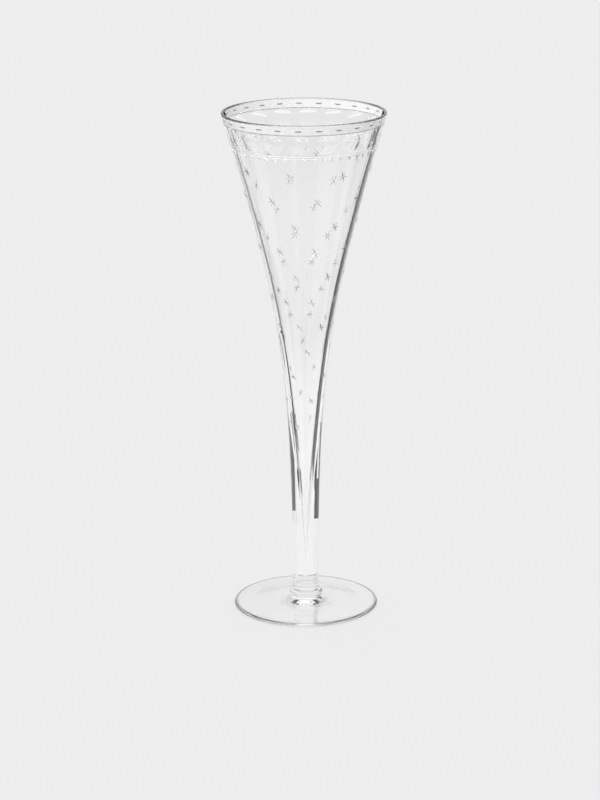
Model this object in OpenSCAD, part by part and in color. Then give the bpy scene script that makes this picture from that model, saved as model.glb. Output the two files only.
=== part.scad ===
// Cut-glass champagne flute: a trumpet bowl drawn out into a hollow stem,
// set on a small collar and a flat disc foot.
// Millimetres, +Z up. Z = 0 is the plane the foot rests on; the Z axis is the glass's own axis.
// Angles round the glass are counted from -Y, positive towards +X.

/* [Bowl and stem] */
// Height from the table to the lip
height = 240; // [200:1:270]
// Outer diameter at the mouth
mouth_d = 76.8; // [70:0.2:84]
// Diameter that the stem tends to at its foot end
stem_d = 11.8; // [10:0.2:13]
// Height about which the wall turns from stem to bowl
flare_z = 132; // [120:1:140]
// Length over which that turn is spread
flare_soft = 31.6; // [26:0.2:36]
// Wall thickness at the lip
lip_wall = 1.5; // [1.2:0.1:2]
// Height of the pointed lower end of the cavity
cavity_tip_z = 21.6; // [18:0.2:30]
// Taper of the cavity inside the stem, radius per height
cavity_taper = 0.0487; // [0.04:0.0005:0.055]
// Height about which the cavity opens out
cavity_flare_z = 137; // [128:1:144]
// Length over which the cavity opens out
cavity_flare_soft = 33.7; // [28:0.1:38]

/* [Rim band] */
// Drop from where the lip's round begins to the band's upper edge
band_drop = 0.2; // [0.1:0.1:1.5]
// Height of the matt band
band_h = 3.6; // [3:0.1:5]
// Depth of the matt band
band_depth = 0.1; // [0.05:0.01:0.2]
// Number of slits cut through the band
slits = 25; // [12:1:30]
// Length of a slit
slit_len = 4; // [3:0.1:5]
// Height of a slit
slit_w = 0.7; // [0.5:0.05:1]
// Depth of a slit
slit_depth = 0.3; // [0.2:0.01:0.34]
// Turn of the first slit
slit_turn = -4; // [-10:0.1:10]

/* [Lens cuts] */
// Number of round lens cuts
lenses = 18; // [10:1:20]
// Diameter of a lens cut
lens_d = 10; // [8:0.1:10.4]
// Depth of a lens cut
lens_depth = 0.6; // [0.5:0.01:0.7]
// Turn of the first lens cut
lens_turn = -3.4; // [-10:0.1:10]

/* [Rings and teeth] */
// Space from the lens cuts to the upper ring
ring_drop = 0.6; // [0.4:0.1:1.5]
// Space between the two rings
ring_gap = 1; // [0.8:0.1:1.6]
// Width of a ring line
ring_w = 0.4; // [0.3:0.05:0.6]
// Depth of a ring line
ring_depth = 0.12; // [0.05:0.01:0.2]
// Number of teeth hanging from the lower ring
teeth = 48; // [36:1:56]
// Width of a tooth at its top
tooth_w = 2.8; // [2:0.1:3.4]
// Length of a tooth
tooth_len = 2.2; // [1.5:0.1:3]
// Depth of a tooth at its top
tooth_depth = 0.25; // [0.15:0.01:0.35]

/* [Collar] */
// Height of the joint between stem and collar
collar_top_z = 12.8; // [11:0.1:14]
// Height of the joint between collar and foot
collar_base_z = 4.6; // [4.2:0.1:5]
// How far the collar's neck swells past the stem
neck_swell = 0.3; // [0.1:0.05:0.5]
// Diameter over the collar's bead
bead_d = 16; // [15:0.1:17]
// Height of the bead, top to bottom
bead_h = 2.4; // [2:0.1:2.8]

/* [Foot] */
// Diameter of the foot
foot_d = 68.8; // [60:0.2:76]
// Thickness of the foot at its edge
foot_edge = 1.4; // [1.2:0.1:2]
// Rise of the foot's upper face from edge to centre
foot_rise = 0.9; // [0.4:0.1:1.2]
// Inner diameter of the flat ring that the foot stands on
rest_d = 54; // [48:0.5:58]
// Height of the hollow under the foot
hollow_h = 0.8; // [0.4:0.1:1]

/* [Hidden] */
$fn = 96;
glass = [0.86, 0.9, 0.91];
stem_r = stem_d / 2;
lip_r = lip_wall / 2;
lip_z = height - lip_r;
// Height step between the points of the long curves
curve_step = 8;
// Spare length that a cutting solid needs outside the glass
spare = 1;

// ---- Long curves of the bowl and stem ----

// A straight slope that fades to nothing below turn_z, over the length soft
function bend(z, turn_z, soft) = soft * ln(1 + exp((z - turn_z) / soft));

// Slopes that bring both walls to their radii where the lip begins
wall_slope = (mouth_d / 2 - stem_r) / bend(lip_z, flare_z, flare_soft);
cavity_slope = (mouth_d / 2 - lip_wall - cavity_taper * (lip_z - cavity_tip_z))
    / (bend(lip_z, cavity_flare_z, cavity_flare_soft)
        - bend(cavity_tip_z, cavity_flare_z, cavity_flare_soft));

// Outer radius of the glass at a height
function wall_r(z) = stem_r + wall_slope * bend(z, flare_z, flare_soft);

// Radius of the cavity at a height
function cavity_r(z) = cavity_taper * (z - cavity_tip_z)
    + cavity_slope * (bend(z, cavity_flare_z, cavity_flare_soft)
        - bend(cavity_tip_z, cavity_flare_z, cavity_flare_soft));

// Angle that the outer wall leans out from upright at a height
function wall_lean(z) = atan(wall_slope / (1 + exp((flare_z - z) / flare_soft)));

// Heights from bottom to top in even steps of about curve_step
function steps(bottom, top) =
    let (n = ceil((top - bottom) / curve_step))
    [for (i = [0:n]) bottom + (top - bottom) * i / n];

// Half section of the bowl and stem, from the outer wall's foot up to the lip and back down the cavity
module wall_outline() {
    outer = [for (z = steps(collar_top_z, lip_z)) [wall_r(z), z]];
    inner = [for (z = steps(-lip_z, -cavity_tip_z)) [cavity_r(-z), -z]];
    polygon(concat([[0, collar_top_z]], outer, inner));
    // The lip is a full round
    translate([wall_r(lip_z) - lip_r, lip_z]) circle(lip_r);
}

// Puts a cutting wheel against the wall: X runs round the glass, -Y out of it, Z up its slope
module on_wall(turn, z) {
    rotate([0, 0, turn]) translate([0, -wall_r(z), z]) rotate([wall_lean(z), 0, 0]) children();
}

// Curvature of the wall round the glass, at right angles to its slope
function wall_curve(z) = cos(wall_lean(z)) / wall_r(z);

// ---- Cuts ----

band_top_z = lip_z - band_drop;
band_base_z = band_top_z - band_h;
slit_z = band_base_z + band_h / 2;
lens_z = band_base_z - lens_d / 2 * cos(wall_lean(band_base_z));
ring_z = lens_z - lens_d / 2 * cos(wall_lean(lens_z)) - ring_drop;

// Section of the shallow matt band, with square edges
module band_outline() {
    polygon([
        [wall_r(band_base_z) - band_depth, band_base_z],
        [wall_r(band_base_z) + spare, band_base_z],
        [wall_r(band_top_z) + spare, band_top_z],
        [wall_r(band_top_z) - band_depth, band_top_z]]);
}

// Square-edged wheel, turned flat, that leaves a slit of the given length
module slit_wheel() {
    wheel_r = 1 / (8 * slit_depth / (slit_len * slit_len) - wall_curve(slit_z));
    translate([0, slit_depth - wheel_r, 0]) cylinder(slit_w, r = wheel_r, center = true);
}

// Crowned wheel on a level axle, that leaves a round lens cut
module lens_wheel() {
    wheel_r = lens_d * lens_d / (8 * lens_depth);
    crown_r = 1 / (1 / wheel_r - wall_curve(lens_z));
    translate([0, lens_depth - wheel_r, 0]) rotate([0, 90, 0]) rotate_extrude()
        intersection() {
            translate([wheel_r - crown_r, 0]) circle(crown_r, $fn = 180);
            translate([wheel_r / 2, -lens_d]) square([wheel_r, 2 * lens_d]);
        }
}

// Section of a V-groove at a height
module ring_outline(z) {
    polygon([
        [wall_r(z) - ring_depth, z],
        [wall_r(z) + ring_depth, z - ring_w],
        [wall_r(z) + ring_depth, z + ring_w]]);
}

// V-edged bar that is deepest at the ring and runs out of the wall at the tooth's point
module tooth_bar() {
    run_out = atan(tooth_depth / tooth_len);
    out = tooth_depth + spare;
    translate([0, tooth_depth, 0]) rotate([180 - run_out, 0, 0]) linear_extrude(tooth_len + spare)
        polygon([[0, 0],
            [out * tooth_w / 2 / tooth_depth, out],
            [-out * tooth_w / 2 / tooth_depth, out]]);
}

module bowl_and_stem() {
    color(glass, 0.35) difference() {
        rotate_extrude() difference() {
            wall_outline();
            band_outline();
            ring_outline(ring_z);
            ring_outline(ring_z - ring_gap);
        }
        for (i = [0:slits - 1]) on_wall(slit_turn + i * 360 / slits, slit_z) slit_wheel();
        for (i = [0:lenses - 1]) on_wall(lens_turn + i * 360 / lenses, lens_z) lens_wheel();
        for (i = [0:teeth - 1]) on_wall(i * 360 / teeth, ring_z - ring_gap) tooth_bar();
    }
}

// ---- Collar ----

// Neck that swells a little between the stem and the bead
module neck_outline() {
    n = 8;
    base_z = collar_base_z + bead_h / 2;
    top_r = wall_r(collar_top_z);
    polygon(concat([[0, collar_top_z], [0, base_z]],
        [for (i = [0:n])
            [top_r + neck_swell * sin(180 * i / n), base_z + (collar_top_z - base_z) * i / n]]));
}

module collar() {
    bead_r = bead_h / 2;
    color(glass, 0.35) rotate_extrude() {
        neck_outline();
        translate([bead_d / 2 - bead_r, collar_base_z + bead_r]) circle(bead_r);
        translate([0, collar_base_z]) square([bead_d / 2 - bead_r, bead_h]);
    }
}

// ---- Foot ----

// Height of the foot's upper face at a radius: a low cone with a flare up to the collar
function foot_top(r) =
    let (
        joint_r = bead_d / 2 - bead_h / 2,
        cone = foot_edge + foot_rise * (1 - 2 * r / foot_d),
        flare_h = collar_base_z - foot_edge - foot_rise * (1 - 2 * joint_r / foot_d),
        flare_len = 2.2)
    cone + flare_h * exp((joint_r - r) / flare_len);

module foot() {
    joint_r = bead_d / 2 - bead_h / 2;
    edge_r = foot_edge / 2;
    rim_r = foot_d / 2 - edge_r;
    n = 16;
    // Radii that crowd towards the collar, where the flare is steep
    radii = [for (i = [0:n]) joint_r + (rim_r - joint_r) * pow(i / n, 2)];
    // The hollow underneath is a shallow dome, so that the foot stands on its outer ring
    dome_r = (rest_d * rest_d / 4 + hollow_h * hollow_h) / (2 * hollow_h);
    color(glass, 0.35) rotate_extrude() difference() {
        polygon(concat([[0, collar_base_z]], [for (r = radii) [r, foot_top(r)]],
            [for (a = [75:-15:-90]) [rim_r + edge_r * cos(a), edge_r + edge_r * sin(a)]],
            [[0, 0]]));
        translate([0, hollow_h - dome_r]) circle(dome_r, $fn = 360);
    }
}

bowl_and_stem();
collar();
foot();
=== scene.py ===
# Champagne flute in clear cut glass, on a pale studio floor.
import random
from math import atan, ceil, cos, exp, log, pi, radians, sin, sqrt

import bpy
from mathutils import Matrix, Vector


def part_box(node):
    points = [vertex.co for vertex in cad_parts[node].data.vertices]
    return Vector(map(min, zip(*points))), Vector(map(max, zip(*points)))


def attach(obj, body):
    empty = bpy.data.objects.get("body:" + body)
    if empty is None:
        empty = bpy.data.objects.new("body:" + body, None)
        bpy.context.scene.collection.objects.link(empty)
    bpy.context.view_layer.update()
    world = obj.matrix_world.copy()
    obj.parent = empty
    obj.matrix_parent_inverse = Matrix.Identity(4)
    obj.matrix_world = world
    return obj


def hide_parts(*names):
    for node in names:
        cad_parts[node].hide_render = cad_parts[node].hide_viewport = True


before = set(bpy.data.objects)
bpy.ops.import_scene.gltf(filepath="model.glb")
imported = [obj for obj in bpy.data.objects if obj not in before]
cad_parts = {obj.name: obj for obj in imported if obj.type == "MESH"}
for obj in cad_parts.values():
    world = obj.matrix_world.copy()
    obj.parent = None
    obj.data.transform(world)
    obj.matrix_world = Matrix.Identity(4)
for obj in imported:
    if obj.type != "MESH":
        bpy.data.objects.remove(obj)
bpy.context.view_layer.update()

# Lengths below are millimetres until a mesh is made; the meshes are metres.
MM = 0.001

# ---------------------------------------------------------------- sizes from the frame


def node_box(node):
    """Lowest and highest corner of a CAD node, in millimetres."""
    low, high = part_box(node)
    return low / MM, high / MM


BOWL_LOW, BOWL_HIGH = node_box("bowl_and_stem")
COLLAR_LOW, COLLAR_HIGH = node_box("collar")
_, FOOT_HIGH = node_box("foot")

HEIGHT = BOWL_HIGH.z
MOUTH_R = BOWL_HIGH.x
COLLAR_TOP_Z = BOWL_LOW.z
COLLAR_BASE_Z = COLLAR_LOW.z
BEAD_R = COLLAR_HIGH.x
FOOT_R = FOOT_HIGH.x

# ---------------------------------------------------------------- the design's own numbers

STEM_R = 5.9
FLARE_Z = 132.0
FLARE_SOFT = 31.6
LIP_WALL = 1.5
CAVITY_TIP_Z = 21.6
CAVITY_TAPER = 0.0487
CAVITY_FLARE_Z = 137.0
CAVITY_FLARE_SOFT = 33.7

BAND_DROP = 0.2
BAND_H = 3.6
BAND_DEPTH = 0.1
BAND_LINE_W = 0.3
BAND_LINE_DEPTH = 0.14
SLITS = 25
SLIT_LEN = 4.0
SLIT_W = 0.7
SLIT_DEPTH = 0.3
SLIT_TURN = -4.0

LENSES = 18
LENS_D = 10.0
LENS_DEPTH = 0.6
LENS_TURN = -3.4

RING_DROP = 0.6
RING_GAP = 1.0
RING_W = 0.4
RING_DEPTH = 0.12
TEETH = 48
TOOTH_W = 2.8
TOOTH_LEN = 2.2
TOOTH_DEPTH = 0.25

BEAD_H = 2.4
NECK_SWELL = 0.3
JOINT_NICK = 0.25
FOOT_EDGE = 1.4
FOOT_RISE = 0.9
FLARE_LEN = 2.2
REST_R = 27.0
HOLLOW_H = 0.8

# Stars engraved down the bowl: height of the top row, drop from row to row, and for each row how
# many go round and the turn of the first, in degrees
STAR_TOP_Z = 215.0
STAR_DROP = 12.4
STAR_ROWS = [(8, -11), (8, 13), (8, -11), (8, 13), (8, -11), (8, 13), (8, -11),
             (4, 4.5), (4, -30.5), (4, 18), (4, -26)]
# How unevenly the stars are cut: height in millimetres, place and twist in degrees, and how much
# smaller each row is than the one above
STAR_SHIFT = 0.4
STAR_SWAY = 1
STAR_TWIST = 10
STAR_SHRINK = 0.035
STROKE_WHEEL_R = 24.0
STROKE_DEPTH = 0.26
STROKE_W = 0.7

# How far the model of a wheel goes past the edge of its cut
REACH = 1.15

# Faces round a turned piece, and along each of its small arcs
SEGMENTS = 256
ARC_STEPS = 24

# Places in the list of glasses, GLASS
SLOT_CLEAR, SLOT_CAVITY_SHADE, SLOT_EDGE_SHADE, SLOT_LIP_SHADE, SLOT_JOINT = range(5)
SLOT_MATT, SLOT_BAND_SHADE, SLOT_STROKE_SHADE, SLOT_CUT_SHADE = range(5, 9)

# ---------------------------------------------------------------- the long curves


def bend(z, turn_z, soft):
    """A straight slope above turn_z that fades to nothing below it."""
    return soft * log(1 + exp((z - turn_z) / soft))


LIP_R = LIP_WALL / 2
LIP_Z = HEIGHT - LIP_R
WALL_SLOPE = (MOUTH_R - STEM_R) / bend(LIP_Z, FLARE_Z, FLARE_SOFT)
CAVITY_SLOPE = (MOUTH_R - LIP_WALL - CAVITY_TAPER * (LIP_Z - CAVITY_TIP_Z)) / (
    bend(LIP_Z, CAVITY_FLARE_Z, CAVITY_FLARE_SOFT)
    - bend(CAVITY_TIP_Z, CAVITY_FLARE_Z, CAVITY_FLARE_SOFT))


def wall_r(z):
    """Outer radius of the glass at a height."""
    return STEM_R + WALL_SLOPE * bend(z, FLARE_Z, FLARE_SOFT)


def cavity_r(z):
    """Radius of the cavity at a height."""
    opened = (bend(z, CAVITY_FLARE_Z, CAVITY_FLARE_SOFT)
              - bend(CAVITY_TIP_Z, CAVITY_FLARE_Z, CAVITY_FLARE_SOFT))
    return CAVITY_TAPER * (z - CAVITY_TIP_Z) + CAVITY_SLOPE * opened


def wall_lean(z):
    """Angle that the outer wall leans out from upright, in radians."""
    return atan(WALL_SLOPE / (1 + exp((FLARE_Z - z) / FLARE_SOFT)))


def wall_curve(z):
    """Curvature of the wall round the glass."""
    return cos(wall_lean(z)) / wall_r(z)


BAND_TOP_Z = LIP_Z - BAND_DROP
BAND_BASE_Z = BAND_TOP_Z - BAND_H
SLIT_Z = BAND_BASE_Z + BAND_H / 2
LENS_Z = BAND_BASE_Z - LENS_D / 2 * cos(wall_lean(BAND_BASE_Z))
RING_Z = LENS_Z - LENS_D / 2 * cos(wall_lean(LENS_Z)) - RING_DROP

# ---------------------------------------------------------------- meshes


def steps(start, stop, step):
    """Even steps from start to stop, both included, each about one step long."""
    n = max(1, ceil(abs(stop - start) / step))
    return [start + (stop - start) * i / n for i in range(n + 1)]


def add_mesh(name, verts, faces, slots, materials):
    """A new smooth-shaded object from millimetre points; slots gives each face's material."""
    mesh = bpy.data.meshes.new(name)
    mesh.from_pydata([Vector(v) * MM for v in verts], [], faces)
    for material in materials:
        mesh.materials.append(material)
    mesh.polygons.foreach_set("material_index", slots)
    mesh.polygons.foreach_set("use_smooth", [True] * len(faces))
    mesh.update()
    piece = bpy.data.objects.new(name, mesh)
    bpy.context.scene.collection.objects.link(piece)
    return piece


def lathe(name, profile, materials):
    """Turns a closed half profile round the axis, on which it starts and ends. Its points are
    (radius, height, slot), and each point's slot covers the face that leads on to the next."""
    rings = [p for p in profile if p[0] > 0]
    turns = [2 * pi * i / SEGMENTS for i in range(SEGMENTS)]
    verts = [(r * sin(t), -r * cos(t), z) for r, z, _ in rings for t in turns]
    first, last = len(verts), len(verts) + 1
    verts += [(0, 0, profile[0][1]), (0, 0, profile[-1][1])]
    faces, slots = [], []
    for i in range(SEGMENTS):
        j = (i + 1) % SEGMENTS
        faces.append((first, j, i))
        slots.append(profile[0][2])
        for k in range(len(rings) - 1):
            low, high = k * SEGMENTS, (k + 1) * SEGMENTS
            faces.append((low + i, low + j, high + j, high + i))
            slots.append(rings[k][2])
        top = (len(rings) - 1) * SEGMENTS
        faces.append((last, top + i, top + j))
        slots.append(rings[-1][2])
    return add_mesh(name, verts, faces, slots, materials)


def on_wall(turn, z):
    """Frame on the outer wall: X runs round the glass, Y into it, Z up its slope."""
    return (Matrix.Rotation(radians(turn), 4, "Z")
            @ Matrix.Translation((0, -wall_r(z), z))
            @ Matrix.Rotation(wall_lean(z), 4, "X"))


def wheel_mark(place, rim, wheel_r, depth, half_len, half_w, n_len, n_w, angle):
    """The part of a cutting wheel that is in the glass, closed by a flat lid outside it.
    rim(t) is the wheel's radius at a distance t from its middle plane, and angle turns
    the cut from level, in radians. n_len and n_w count the faces along it and across it.
    Gives (verts, faces)."""
    along = Vector((cos(angle), 0, sin(angle)))
    across = Vector((-sin(angle), 0, cos(angle)))
    into = Vector((0, 1, 0))
    verts, faces = [], []
    for is_lid in (False, True):
        for i in range(n_len + 1):
            s = half_len * (2 * i / n_len - 1)
            for j in range(n_w + 1):
                t = half_w * (2 * j / n_w - 1)
                y = -depth if is_lid else sqrt(rim(t) ** 2 - s * s) - (wheel_r - depth)
                verts.append(place @ (along * s + across * t + into * y))
    row = n_w + 1
    lid = (n_len + 1) * row
    for i in range(n_len):
        for j in range(n_w):
            a = i * row + j
            faces.append((a, a + 1, a + 1 + row, a + row))
            faces.append((lid + a, lid + a + row, lid + a + 1 + row, lid + a + 1))
    for i in range(n_len):
        a, b = i * row, i * row + n_w
        faces.append((a, a + row, lid + a + row, lid + a))
        faces.append((b + row, b, lid + b, lid + b + row))
    for j in range(n_w):
        a, b = j, n_len * row + j
        faces.append((a + 1, a, lid + a, lid + a + 1))
        faces.append((b, b + 1, lid + b + 1, lid + b))
    return verts, faces


def slit_mark(turn):
    """A short level slit with a rounded floor."""
    wheel_r = 1 / (8 * SLIT_DEPTH / SLIT_LEN ** 2 - wall_curve(SLIT_Z))
    edge_r = SLIT_W * 0.65

    def rim(t):
        return wheel_r - edge_r + sqrt(edge_r ** 2 - t * t)

    reach = SLIT_LEN * 0.62
    return wheel_mark(on_wall(turn, SLIT_Z), rim, wheel_r, SLIT_DEPTH, reach, SLIT_W / 2, 16, 4, 0)


def lens_mark(turn):
    """A round, shallow, polished hollow."""
    wheel_r = LENS_D ** 2 / (8 * LENS_DEPTH)
    crown_r = 1 / (1 / wheel_r - wall_curve(LENS_Z))

    def rim(t):
        return wheel_r - crown_r + sqrt(crown_r ** 2 - t * t)

    reach = LENS_D / 2 * REACH
    return wheel_mark(on_wall(turn, LENS_Z), rim, wheel_r, LENS_DEPTH, reach, reach, 24, 24, pi / 2)


def stroke_mark(turn, z, angle, depth, size):
    """One spindle-shaped stroke of a star, from a V-edged wheel."""
    slope = 2 * STROKE_DEPTH / STROKE_W
    wheel_r = STROKE_WHEEL_R * size ** 2

    def rim(t):
        return wheel_r - abs(t) * slope

    reach = REACH * sqrt(2 * wheel_r * depth)
    half_w = STROKE_W * 0.7
    return wheel_mark(on_wall(turn, z), rim, wheel_r, depth, reach, half_w, 14, 2, angle)


def tooth_mark(turn):
    """A notch that is deep and wide at the ring and runs out to a point below it."""
    place = on_wall(turn, RING_Z - RING_GAP)
    # The notch is carried on out of the glass, to twice its size
    grow = 2.0
    half_w = TOOTH_W / 2 * grow
    out = -TOOTH_DEPTH * (grow - 1)
    verts = [place @ Vector(p) for p in (
        (-half_w, out, 0), (half_w, out, 0), (0, TOOTH_DEPTH, 0), (0, out, -TOOTH_LEN * grow))]
    return verts, [(0, 2, 1), (0, 3, 2), (1, 2, 3), (0, 1, 3)]


def star_marks():
    """Three lists of strokes, one for each direction that the stars' strokes run in."""
    rng = random.Random(7)
    passes = [[], [], []]
    for row, (count, turn) in enumerate(STAR_ROWS):
        for i in range(count):
            z = STAR_TOP_Z - STAR_DROP * row + rng.uniform(-STAR_SHIFT, STAR_SHIFT)
            at = turn + 360 / count * i + rng.uniform(-STAR_SWAY, STAR_SWAY)
            twist = radians(rng.uniform(-STAR_TWIST, STAR_TWIST))
            size = 1 - STAR_SHRINK * row
            for k in range(3):
                depth = STROKE_DEPTH * rng.uniform(0.85, 1.05)
                passes[k].append(stroke_mark(at, z, twist + k * pi / 3, depth, size))
    return passes


def cut(piece, marks, slot, materials):
    """Takes marks that don't touch each other out of a piece."""
    verts, faces = [], []
    for mark_verts, mark_faces in marks:
        start = len(verts)
        verts += mark_verts
        faces += [tuple(start + v for v in face) for face in mark_faces]
    tool = add_mesh("cutting_marks", verts, faces, [slot] * len(faces), materials)
    step = piece.modifiers.new("cut", "BOOLEAN")
    step.operation = "DIFFERENCE"
    step.solver = "MANIFOLD"
    step.object = tool
    shown = piece.evaluated_get(bpy.context.evaluated_depsgraph_get())
    done = bpy.data.meshes.new_from_object(shown)
    piece.modifiers.clear()
    old = piece.data
    piece.data = done
    bpy.data.meshes.remove(old)
    tool_mesh = tool.data
    bpy.data.objects.remove(tool)
    bpy.data.meshes.remove(tool_mesh)


def crisp(piece, angle):
    """Smooth shading that breaks at edges sharper than the angle, in degrees."""
    piece.data.set_sharp_from_angle(angle=radians(angle))


# ---------------------------------------------------------------- materials

GLASS_IOR = 1.5

# Width of the dark outline painted as shade along the cavity's edge, in millimetres
OUTLINE_SHADE_W = 1.5


def new_material(name):
    """A new material. Gives (material, nodes, links, shader)."""
    material = bpy.data.materials.new(name)
    material.use_nodes = True
    nodes, links = material.node_tree.nodes, material.node_tree.links
    return material, nodes, links, nodes["Principled BSDF"]


def fade_node(nodes, links, value, start, stop, low, high):
    """A smooth step from low to high while the value goes from start to stop."""
    fade = nodes.new("ShaderNodeMapRange")
    fade.interpolation_type = "SMOOTHSTEP"
    for key, number in (("From Min", start), ("From Max", stop), ("To Min", low), ("To Max", high)):
        fade.inputs[key].default_value = number
    links.new(value, fade.inputs["Value"])
    return fade.outputs["Result"]


def math_node(nodes, links, operation, first, second):
    """The result of a sum on two values, each a socket or a plain number."""
    node = nodes.new("ShaderNodeMath")
    node.operation = operation
    for socket, value in zip(node.inputs, (first, second)):
        if isinstance(value, float):
            socket.default_value = value
        else:
            links.new(value, socket)
    return node.outputs["Value"]


def add_ripple(nodes, links, shader, stretch, scale, strength, distance):
    """Bump from noise in the object's own coordinates."""
    place = nodes.new("ShaderNodeTexCoord")
    mapping = nodes.new("ShaderNodeMapping")
    mapping.inputs["Scale"].default_value = stretch
    noise = nodes.new("ShaderNodeTexNoise")
    noise.inputs["Scale"].default_value = scale
    noise.inputs["Detail"].default_value = 2.0
    bump = nodes.new("ShaderNodeBump")
    bump.inputs["Strength"].default_value = strength
    bump.inputs["Distance"].default_value = distance
    links.new(place.outputs["Object"], mapping.inputs["Vector"])
    links.new(mapping.outputs["Vector"], noise.inputs["Vector"])
    links.new(noise.outputs["Fac"], bump.inputs["Height"])
    links.new(bump.outputs["Normal"], shader.inputs["Normal"])


def polished_glass(name):
    """Polished glass with the faint upright waviness of blown work."""
    material, nodes, links, shader = new_material(name)
    shader.inputs["Base Color"].default_value = (1, 1, 1, 1)
    shader.inputs["Roughness"].default_value = 0.0
    shader.inputs["IOR"].default_value = GLASS_IOR
    shader.inputs["Transmission Weight"].default_value = 1.0
    add_ripple(nodes, links, shader, (1, 1, 0.12), 220, 0.05, 0.0002)
    return material


def painted_edge_shade_glass(name, start, stop, least):
    """Polished glass with painted shade: its colour darkens where it is seen at a grazing angle,
    which paints a dark line along its edges.
    """
    material = polished_glass(name)
    nodes, links = material.node_tree.nodes, material.node_tree.links
    graze = nodes.new("ShaderNodeLayerWeight")
    graze.inputs["Blend"].default_value = 0.5
    level = fade_node(nodes, links, graze.outputs["Facing"], start, stop, 1.0, least)
    links.new(level, nodes["Principled BSDF"].inputs["Base Color"])
    return material


def cavity_outline_shade_glass():
    """Polished glass with painted shade: a dark outline painted within a hair's breadth of the
    cavity's outline, where it is seen at a grazing angle.
    """
    material = polished_glass("cavity_outline_shade_glass")
    nodes, links = material.node_tree.nodes, material.node_tree.links
    graze = nodes.new("ShaderNodeLayerWeight")
    graze.inputs["Blend"].default_value = 0.5
    place = nodes.new("ShaderNodeTexCoord")
    flat = nodes.new("ShaderNodeVectorMath")
    flat.operation = "MULTIPLY"
    flat.inputs[1].default_value = (1, 1, 0)
    links.new(place.outputs["Object"], flat.inputs[0])
    radius = nodes.new("ShaderNodeVectorMath")
    radius.operation = "LENGTH"
    links.new(flat.outputs["Vector"], radius.inputs[0])
    square_on = math_node(nodes, links, "SUBTRACT", 1.0, graze.outputs["Facing"])
    square = math_node(nodes, links, "MULTIPLY", square_on, square_on)
    wide = math_node(nodes, links, "MAXIMUM", radius.outputs["Value"], 10 * OUTLINE_SHADE_W * MM)
    depth = math_node(nodes, links, "MULTIPLY", square, wide)
    level = fade_node(nodes, links, depth, OUTLINE_SHADE_W * MM, 1.4 * OUTLINE_SHADE_W * MM, 0.0, 1.0)
    links.new(level, nodes["Principled BSDF"].inputs["Base Color"])
    return material


def fused_joint():
    """The face where two gathers were fused hot: light goes straight through it."""
    material, nodes, links, shader = new_material("fused_joint")
    clear = nodes.new("ShaderNodeBsdfTransparent")
    links.new(clear.outputs["BSDF"], nodes["Material Output"].inputs["Surface"])
    nodes.remove(shader)
    return material


def ground_glass(name, shade, roughness, clearness):
    """Glass left unpolished by the wheel. A clearness under 1 leaves some of it white or grey, and a
    grey shade is painted shade on the cuts that take it.
    """
    material, nodes, links, shader = new_material(name)
    shader.inputs["Base Color"].default_value = (shade, shade, shade, 1)
    shader.inputs["Roughness"].default_value = roughness
    shader.inputs["IOR"].default_value = GLASS_IOR
    shader.inputs["Transmission Weight"].default_value = clearness
    add_ripple(nodes, links, shader, (1, 1, 1), 2500, 0.3, 0.00005)
    return material


GLASS = [
    polished_glass("clear_glass"),
    # Painted shade: the cavity's glass darkens along its outline
    cavity_outline_shade_glass(),
    # Glass that darkens at grazing angles: painted shade along the foot's rim, the joint edges and
    # the lip
    painted_edge_shade_glass("painted_edge_shade_glass", 0.3, 0.85, 0.15),
    painted_edge_shade_glass("lip_shade_glass", 0.05, 0.55, 0.02),
    fused_joint(),
    ground_glass("matt_glass", 0.95, 0.2, 0.65),
    # Greyer copy of the matt glass for the band: painted shade
    ground_glass("band_shade_glass", 0.85, 0.2, 0.65),
    # Grey copy of the matt glass for the stars' strokes: painted shade
    ground_glass("stroke_shade_glass", 0.62, 0.15, 0.8),
    # Dark grey ground glass for the slits and the line under the band: painted shade in these cuts
    ground_glass("slit_shade_glass", 0.22, 0.4, 0.4),
]

# ---------------------------------------------------------------- the glass


def arc(centre_r, centre_z, radius, start, stop, slot):
    """Points of an arc in the half section, from one angle to another, in degrees."""
    turns = [radians(start + (stop - start) * i / ARC_STEPS) for i in range(ARC_STEPS + 1)]
    return [(centre_r + radius * cos(t), centre_z + radius * sin(t), slot) for t in turns]


def ring_points(z):
    """Three points of a V-groove that goes all the way round."""
    half = RING_W / 2
    return [(wall_r(z - half), z - half, SLOT_MATT),
            (wall_r(z) - RING_DEPTH, z, SLOT_MATT),
            (wall_r(z + half), z + half, SLOT_CLEAR)]


def wall_points(start, stop, step):
    """Points up the outer wall."""
    return [(wall_r(z), z, SLOT_CLEAR) for z in steps(start, stop, step)]


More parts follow.
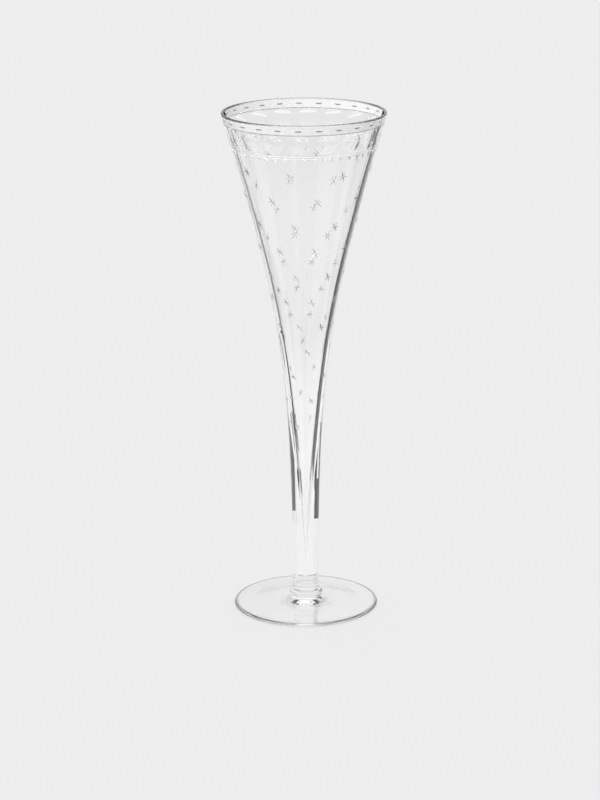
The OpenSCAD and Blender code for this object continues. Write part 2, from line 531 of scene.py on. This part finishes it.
def bowl_profile():
    """Half section of the bowl and stem: up the outer wall, over the lip and down the cavity."""
    lower, upper = RING_Z - RING_GAP, RING_Z
    half = RING_W / 2
    line_z = BAND_BASE_Z - BAND_LINE_W
    line_mid_z = BAND_BASE_Z - BAND_LINE_W / 2
    points = [(0, COLLAR_TOP_Z, SLOT_JOINT),
              (wall_r(COLLAR_TOP_Z) - JOINT_NICK, COLLAR_TOP_Z, SLOT_EDGE_SHADE)]
    points += wall_points(COLLAR_TOP_Z + JOINT_NICK, lower - half, 3.0)[:-1]
    points += ring_points(lower)
    points += ring_points(upper)
    points += wall_points(upper + half, line_z, 2.5)[1:-1]
    # The line under the band takes the dark slit glass: painted shade in the groove
    points += [(wall_r(line_z), line_z, SLOT_CUT_SHADE),
               (wall_r(line_mid_z) - BAND_LINE_DEPTH, line_mid_z, SLOT_CUT_SHADE)]
    points += [(wall_r(z) - BAND_DEPTH, z, SLOT_BAND_SHADE) for z in steps(BAND_BASE_Z, BAND_TOP_Z, 0.5)]
    points += wall_points(BAND_TOP_Z, LIP_Z, 1.0)[:-1]
    points += arc(MOUTH_R - LIP_R, LIP_Z, LIP_R, 0, 180, SLOT_LIP_SHADE)[:-1]
    points += [(cavity_r(z), z, SLOT_CAVITY_SHADE) for z in steps(LIP_Z, CAVITY_TIP_Z, 3.0)[:-1]]
    points += [(0, CAVITY_TIP_Z, SLOT_CAVITY_SHADE)]
    return points


def make_bowl():
    piece = lathe("bowl_and_stem_glass", bowl_profile(), GLASS)
    cut(piece, [slit_mark(SLIT_TURN + 360 / SLITS * i) for i in range(SLITS)], SLOT_CUT_SHADE, GLASS)
    cut(piece, [lens_mark(LENS_TURN + 360 / LENSES * i) for i in range(LENSES)], SLOT_CLEAR, GLASS)
    cut(piece, [tooth_mark(360 / TEETH * i) for i in range(TEETH)], SLOT_MATT, GLASS)
    # Two of the three stroke directions take the grey stroke glass and one the white matt glass:
    # painted light and shade on the stars
    for marks, slot in zip(star_marks(), (SLOT_STROKE_SHADE, SLOT_MATT, SLOT_STROKE_SHADE)):
        cut(piece, marks, slot, GLASS)
    crisp(piece, 9)
    return piece


def make_collar():
    bead_r = BEAD_H / 2
    bead_z = COLLAR_BASE_Z + bead_r
    neck_r = wall_r(COLLAR_TOP_Z)
    points = [(0, COLLAR_BASE_Z, SLOT_JOINT), (BEAD_R - bead_r, COLLAR_BASE_Z, SLOT_CLEAR)]
    points += arc(BEAD_R - bead_r, bead_z, bead_r, -90, 90, SLOT_CLEAR)[1:]
    neck_base_z = bead_z + bead_r
    for i in range(ARC_STEPS):
        z = neck_base_z + (COLLAR_TOP_Z - neck_base_z) * i / ARC_STEPS
        swell = NECK_SWELL * sin(pi * (z - bead_z) / (COLLAR_TOP_Z - bead_z))
        points.append((neck_r + swell, z, SLOT_CLEAR))
    points += [(neck_r, COLLAR_TOP_Z - JOINT_NICK, SLOT_EDGE_SHADE),
               (neck_r - JOINT_NICK, COLLAR_TOP_Z, SLOT_JOINT),
               (0, COLLAR_TOP_Z, SLOT_JOINT)]
    piece = lathe("collar_glass", points, GLASS)
    crisp(piece, 30)
    return piece


def foot_top(r):
    """Height of the foot's upper face: a low cone with a flare up to the collar."""
    joint_r = BEAD_R - BEAD_H / 2
    flare_h = COLLAR_BASE_Z - FOOT_EDGE - FOOT_RISE * (1 - joint_r / FOOT_R)
    cone = FOOT_EDGE + FOOT_RISE * (1 - r / FOOT_R)
    return cone + flare_h * exp((joint_r - r) / FLARE_LEN)


def make_foot():
    joint_r = BEAD_R - BEAD_H / 2
    edge_r = FOOT_EDGE / 2
    rim_r = FOOT_R - edge_r
    points = [(0, HOLLOW_H, SLOT_CLEAR)]
    points += [(r, HOLLOW_H * (1 - (r / REST_R) ** 2), SLOT_CLEAR) for r in steps(0, REST_R, 1.5)[1:]]
    points += arc(rim_r, edge_r, edge_r, -90, 85, SLOT_EDGE_SHADE)
    # Points that crowd towards the collar, where the flare is steep
    n = 48
    for i in range(1, n + 1):
        r = joint_r + (rim_r - joint_r) * (1 - i / n) ** 1.6
        points.append((r, foot_top(r), SLOT_CLEAR))
    points[-1] = (*points[-1][:2], SLOT_JOINT)
    points.append((0, COLLAR_BASE_Z, SLOT_JOINT))
    piece = lathe("foot_glass", points, GLASS)
    crisp(piece, 30)
    return piece


for make, node in ((make_bowl, "bowl_and_stem"), (make_collar, "collar"), (make_foot, "foot")):
    part = make()
    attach(part, "root")
    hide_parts(node)

# ---------------------------------------------------------------- studio

# Brightness of the background, the floor's own tone that gives it under this light, and the
# floor's size and its gap under the glass in metres
PALE = 0.855
FLOOR = 0.4873
FLOOR_SIZE = 12.0
FLOOR_GAP = 0.00005


def make_floor():
    """A matt floor, a hair below the table plane so that it doesn't touch the foot."""
    half = FLOOR_SIZE / 2
    mesh = bpy.data.meshes.new("studio_floor")
    mesh.from_pydata([(-half, -half, 0), (half, -half, 0), (half, half, 0), (-half, half, 0)],
                     [], [(0, 1, 2, 3)])
    floor = bpy.data.objects.new("studio_floor", mesh)
    floor.location.z = -FLOOR_GAP
    bpy.context.scene.collection.objects.link(floor)
    material, nodes, links, shader = new_material("studio_floor")
    shader.inputs["Base Color"].default_value = (FLOOR, FLOOR, FLOOR, 1)
    shader.inputs["Roughness"].default_value = 1.0
    shader.inputs["Specular IOR Level"].default_value = 0.0
    mesh.materials.append(material)


def glow(name, strength, fade=None):
    """A surface of even brightness, for a studio card. With a fade of (near, far, strength) its
    brightness changes to that strength between two distances from the glass."""
    material = bpy.data.materials.new(name)
    material.use_nodes = True
    nodes, links = material.node_tree.nodes, material.node_tree.links
    nodes.remove(nodes["Principled BSDF"])
    emission = nodes.new("ShaderNodeEmission")
    emission.inputs["Strength"].default_value = strength
    if fade:
        near, far, end = fade
        place = nodes.new("ShaderNodeTexCoord")
        length = nodes.new("ShaderNodeVectorMath")
        length.operation = "LENGTH"
        links.new(place.outputs["Object"], length.inputs[0])
        level = fade_node(nodes, links, length.outputs["Value"], near, far, strength, end)
        links.new(level, emission.inputs["Strength"])
    links.new(emission.outputs["Emission"], nodes["Material Output"].inputs["Surface"])
    return material


def make_card(name, start, stop, section, columns, strength, fade=None):
    """A studio card that shows only through the glass: a section of (distance, height) points,
    swept from one direction to another. Directions count in degrees from +Y towards +X."""
    turns = [radians(start + (stop - start) * i / columns) for i in range(columns + 1)]
    verts = [(r * sin(t), r * cos(t), z) for t in turns for r, z in section]
    m = len(section)
    faces = [(m * i + k, m * i + k + 1, m * (i + 1) + k + 1, m * (i + 1) + k)
             for i in range(columns) for k in range(m - 1)]
    mesh = bpy.data.meshes.new(name)
    mesh.from_pydata(verts, [], faces)
    mesh.materials.append(glow(name, strength, fade))
    card = bpy.data.objects.new(name, mesh)
    card.visible_camera = False
    card.visible_diffuse = False
    card.visible_glossy = False
    card.visible_shadow = False
    bpy.context.scene.collection.objects.link(card)


# Height of the flat cards above the floor
CARD_Z = 0.001

# Cards that lie on the floor and stand up at the far end: sector in degrees, near and far edge
# and height of the upright part in metres, brightness, and the fade of it, as glow() takes it.
# The gaps between the dark ones are the directions that look straight through the glass from a
# usual viewpoint. The flat pale ones behind the glass set the tones of the stem and bowl.
CARDS = [
    (17, 35, 0.36, 1.0, 0.2, 0.2, None),
    (35, 80, 0.15, 1.0, 0.2, 0.12, None),
    (100, 116, 0.141, 1.0, 0.2, 0.1, None),
    (154, 195, 0.141, 1.0, 0.2, 0.1, None),
    (205, 252, 0.141, 1.0, 0.2, 0.1, None),
    (286, 300, 0.134, 1.0, 0.2, 0.05, None),
    (331, 336, 0.2, 1.0, 0.2, 0.05, None),
    (-28, 28, 0.04, 0.28, CARD_Z, 0.89, (0.12, 0.2, 0.965)),
    (-28, 28, 0.28, 0.55, CARD_Z, 0.965, (0.26, 0.52, PALE)),
    (-22, 22, 0.7, 1.9, CARD_Z, PALE, (0.85, 1.25, 0.79)),
    (-22, 22, 1.9, 2.45, CARD_Z, 0.79, (1.9, 2.4, 1.0)),
    (-22, 22, 2.45, 2.98, CARD_Z, 1.0, (2.5, 2.98, PALE)),
]

# Dark cards that slope down to the floor, edge-on to a view from high on the right: sector,
# height at the glass's axis, and fall over each metre from there
SLOPES = [
    (300, 332, 0.0746, 0.557),
    (300, 309, 0.1022, 0.531),
    (321, 332, 0.1022, 0.531),
    (300, 308, 0.1406, 0.4735),
    (322, 332, 0.1406, 0.4735),
]
SLOPE_NEAR = 0.045
SLOPE_GLOW = 0.05

# A dim strip far off behind the glass: half sector, distance, lower and upper edge, brightness
SKIRT_SECTOR = 75
SKIRT_R = 3
SKIRT_LOW = 0.45
SKIRT_HIGH = 0.75
SKIRT_GLOW = 0.3


def make_cards():
    for k, (start, stop, near, far, top, strength, fade) in enumerate(CARDS):
        section = [(near, CARD_Z), (far, CARD_Z), (far, top)]
        make_card(f"card_{k}", start, stop, section, 8, strength, fade)
    for k, (start, stop, height, fall) in enumerate(SLOPES):
        section = [(SLOPE_NEAR, height - fall * SLOPE_NEAR + CARD_Z), (height / fall, CARD_Z)]
        make_card(f"slope_{k}", start, stop, section, 16, SLOPE_GLOW)
    section = [(SKIRT_R, SKIRT_LOW), (SKIRT_R, SKIRT_HIGH)]
    make_card("skirt", -SKIRT_SECTOR, SKIRT_SECTOR, section, 32, SKIRT_GLOW)


# Brightness overhead, behind the glass and in front of it, and the lamp's strength
SKY = 1.15
SKY_FRONT = 0.7
SUN = 3.5


def make_world():
    """Soft light from above and behind, dim in front, that fades to the background's own tone
    towards the horizon."""
    world = bpy.data.worlds.new("studio_light")
    bpy.context.scene.world = world
    world.use_nodes = True
    nodes, links = world.node_tree.nodes, world.node_tree.links
    light = nodes["Background"]
    light.inputs["Color"].default_value = (1, 1, 1, 1)
    place = nodes.new("ShaderNodeTexCoord")
    split = nodes.new("ShaderNodeSeparateXYZ")
    links.new(place.outputs["Generated"], split.inputs["Vector"])
    high = fade_node(nodes, links, split.outputs["Z"], 0.4, 0.85, 0.0, 1.0)
    over = fade_node(nodes, links, split.outputs["Y"], -0.6, 0.4, SKY_FRONT, SKY)
    mix = nodes.new("ShaderNodeMix")
    mix.inputs["A"].default_value = PALE
    links.new(high, mix.inputs["Factor"])
    links.new(over, mix.inputs["B"])
    links.new(mix.outputs["Result"], light.inputs["Strength"])


def make_lamp():
    """A high soft lamp in front that brings out the matt cuts and adds no glints."""
    data = bpy.data.lights.new("lamp", "SUN")
    data.energy = SUN
    data.angle = radians(20)
    data.use_shadow = False
    lamp = bpy.data.objects.new("lamp", data)
    lamp.rotation_euler = (radians(42), 0, radians(-35))
    lamp.visible_glossy = False
    lamp.visible_transmission = False
    bpy.context.scene.collection.objects.link(lamp)


# Camera: place in metres, pitch and roll in degrees, lens in millimetres
CAMERA_X = -0.0024
CAMERA_DISTANCE = 1.2106
CAMERA_Z = 0.4518
CAMERA_PITCH = 16.126
CAMERA_ROLL = -0.28
CAMERA_LENS = 119.5


def make_camera():
    data = bpy.data.cameras.new("camera")
    data.lens = CAMERA_LENS
    data.sensor_fit = "AUTO"
    data.sensor_width = 36.0
    camera = bpy.data.objects.new("camera", data)
    camera.matrix_world = (Matrix.Translation((CAMERA_X, -CAMERA_DISTANCE, CAMERA_Z))
                           @ Matrix.Rotation(radians(90 - CAMERA_PITCH), 4, "X")
                           @ Matrix.Rotation(radians(CAMERA_ROLL), 4, "Z"))
    bpy.context.scene.collection.objects.link(camera)
    bpy.context.scene.camera = camera


def set_light_paths():
    """Enough bounces for light to get through several walls of glass, and no blurring of it."""
    cycles = bpy.context.scene.cycles
    cycles.max_bounces = 32
    cycles.diffuse_bounces = 6
    cycles.glossy_bounces = 24
    cycles.transmission_bounces = 32
    cycles.transparent_max_bounces = 16
    cycles.blur_glossy = 0.0


make_floor()
make_cards()
make_world()
make_lamp()
make_camera()
set_light_paths()
bpy.context.scene.view_settings.view_transform = "Standard"
